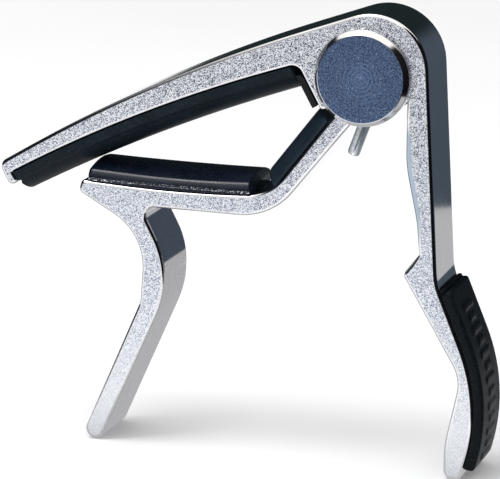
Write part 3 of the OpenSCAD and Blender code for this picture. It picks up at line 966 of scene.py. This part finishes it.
def make_reflected_floor():
    """Glowing card on the floor that only reflections see, in zones of brightness."""
    m = Nodes(bpy.data.materials.new("floor_near"))
    glow = m.add("ShaderNodeEmission")
    m.feed(glow.inputs[0], (0.96, 0.96, 0.98))
    y = m.xyz(m.coords())[1]
    front = m.ramp(y, over=(-0.34, -0.18), to=(0.96, 1.24))
    x = m.xyz(m.coords())[0]
    behind = m.times(m.ramp(y, over=(0.128, 0.137)), m.ramp(x, over=(0.004, -0.004)))
    side = m.times(m.ramp(x, over=(0.046, 0.056)), m.ramp(y, over=(-0.010, -0.016)))
    card = m.mix_value(m.ramp(y, over=(-0.03, -0.004)), front, b=0.55)
    card = m.mix_value(behind, card, b=1.1)
    m.link(m.mix_value(side, card, b=0.01), glow.inputs[1])
    m.link(glow.outputs[0], m.out.inputs[0])
    near = stage_plane("floor_near", x0=-0.6, x1=0.125, y0=-0.9, y1=0.262, z=FLOOR - 0.00001,
                       material=m.owner)
    near.visible_camera = False
    near.visible_diffuse = False
    near.visible_shadow = False
    near.visible_transmission = False


def make_world():
    """Plain white for diffuse light; reflections see a studio painted by direction."""
    world = bpy.data.worlds.new("studio")
    bpy.context.scene.world = world
    w = Nodes(world, "ShaderNodeOutputWorld")
    direction = w.add("ShaderNodeTexCoord").outputs["Generated"]
    x, y, z = w.xyz(direction)

    def fade(axis, start, end):
        return w.ramp(axis, over=(start, end), smooth=True)

    def lobe(toward, inner, outer):
        """1 within inner degrees of a direction, 0 beyond outer degrees."""
        node = w.add("ShaderNodeVectorMath", operation="DOT_PRODUCT")
        w.link(direction, node.inputs[0])
        node.inputs[1].default_value = Vector(toward).normalized()
        return fade(node.outputs["Value"], math.cos(math.radians(outer)),
                    math.cos(math.radians(inner)))

    # Brighter upwards, then a dark +Y side that lifts a little low at +X.
    sky = w.mix(fade(z, start=-0.05, end=0.75), a=(0.55, 0.56, 0.60), b=(1.5, 1.5, 1.5))
    lift = w.times(fade(x, start=0.05, end=0.30), fade(z, start=0.30, end=0.12))
    rear = w.mix(lift, a=(0.012, 0.020, 0.022), b=(0.068, 0.088, 0.115))
    sky = w.mix(fade(y, start=-0.25, end=0.35), sky, rear)
    # Bright patches: low at -X, and overhead.
    low = w.times(fade(x, start=-0.22, end=-0.30), fade(z, start=-0.112, end=-0.145))
    sky = w.mix(low, sky, b=(1.08, 1.08, 1.08))
    overhead = w.times(fade(z, start=0.50, end=0.66), fade(y, start=0.48, end=0.26))
    sky = w.mix(overhead, sky, b=(1.24, 1.22, 1.19))
    # Dark patches: one at +X and two at -X.
    sky = w.mix(lobe((0.88, -0.45, 0.08), inner=46, outer=54), sky, b=(0.004, 0.004, 0.006))
    sky = w.mix(lobe((-0.84, -0.10, 0.53), inner=12, outer=18), sky, b=(0.008, 0.010, 0.016))
    side = w.times(fade(x, start=-0.42, end=-0.60), fade(z, start=0.66, end=0.54))
    sky = w.mix(side, sky, b=(0.012, 0.014, 0.02))

    rays = w.add("ShaderNodeLightPath")
    reflected = w.add("ShaderNodeBackground")
    w.link(sky, reflected.inputs["Color"])
    plain = w.add("ShaderNodeBackground")
    w.feed(plain.inputs["Color"], (1.0, 1.0, 1.0))
    plain.inputs["Strength"].default_value = 0.85
    choice = w.add("ShaderNodeMixShader")
    w.link(rays.outputs["Is Glossy Ray"], choice.inputs[0])
    w.link(plain.outputs[0], choice.inputs[1])
    w.link(reflected.outputs[0], choice.inputs[2])
    w.link(choice.outputs[0], w.out.inputs[0])


LIGHT_TARGET = Vector((-0.02, 0, -0.03))


def area_light(name, place, size, power, glossy=True):
    light = bpy.data.lights.new(name, "AREA")
    light.energy = power
    light.size = size
    ob = bpy.data.objects.new(name, light)
    bpy.context.scene.collection.objects.link(ob)
    ob.location = place
    ob.rotation_mode = "QUATERNION"
    ob.rotation_quaternion = (LIGHT_TARGET - Vector(place)).to_track_quat("-Z", "Y")
    ob.visible_glossy = glossy


def make_camera():
    """Long lens, with place and axes rolled by a small tilt about the pivot axis."""
    place_mm = Vector((167.752, -606.791, 117.499))
    tilt, around, above = math.radians(1.108), math.radians(17.67), math.radians(13.56)
    back = Vector((math.sin(around) * math.cos(above), -math.cos(around) * math.cos(above),
                   math.sin(above)))
    right = Vector((math.cos(around), math.sin(around), 0))
    up = back.cross(right)

    def tilted(v):
        c, s = math.cos(tilt), math.sin(tilt)
        return Vector((c * v.x - s * v.z, v.y, s * v.x + c * v.z))

    camera = bpy.data.cameras.new("camera")
    camera.sensor_fit = "HORIZONTAL"
    camera.sensor_width = 36.0
    camera.lens = 233.064
    camera.clip_start, camera.clip_end = 0.05, 50
    ob = bpy.data.objects.new("camera", camera)
    bpy.context.scene.collection.objects.link(ob)
    axes = Matrix((tilted(right), tilted(up), tilted(back))).transposed()
    ob.matrix_world = Matrix.Translation(tilted(place_mm) * S + PIVOT) @ axes.to_4x4()
    bpy.context.scene.camera = ob


make_floor()
make_reflected_floor()
make_world()
area_light("key_top", place=(-0.24, -0.20, 0.70), size=0.36, power=2.9)
area_light("fill_front", place=(-0.45, -0.8, 0.12), size=0.6, power=1.2, glossy=False)
make_camera()
bpy.context.scene.view_settings.view_transform = "Standard"
bpy.context.scene.view_settings.look = "None"
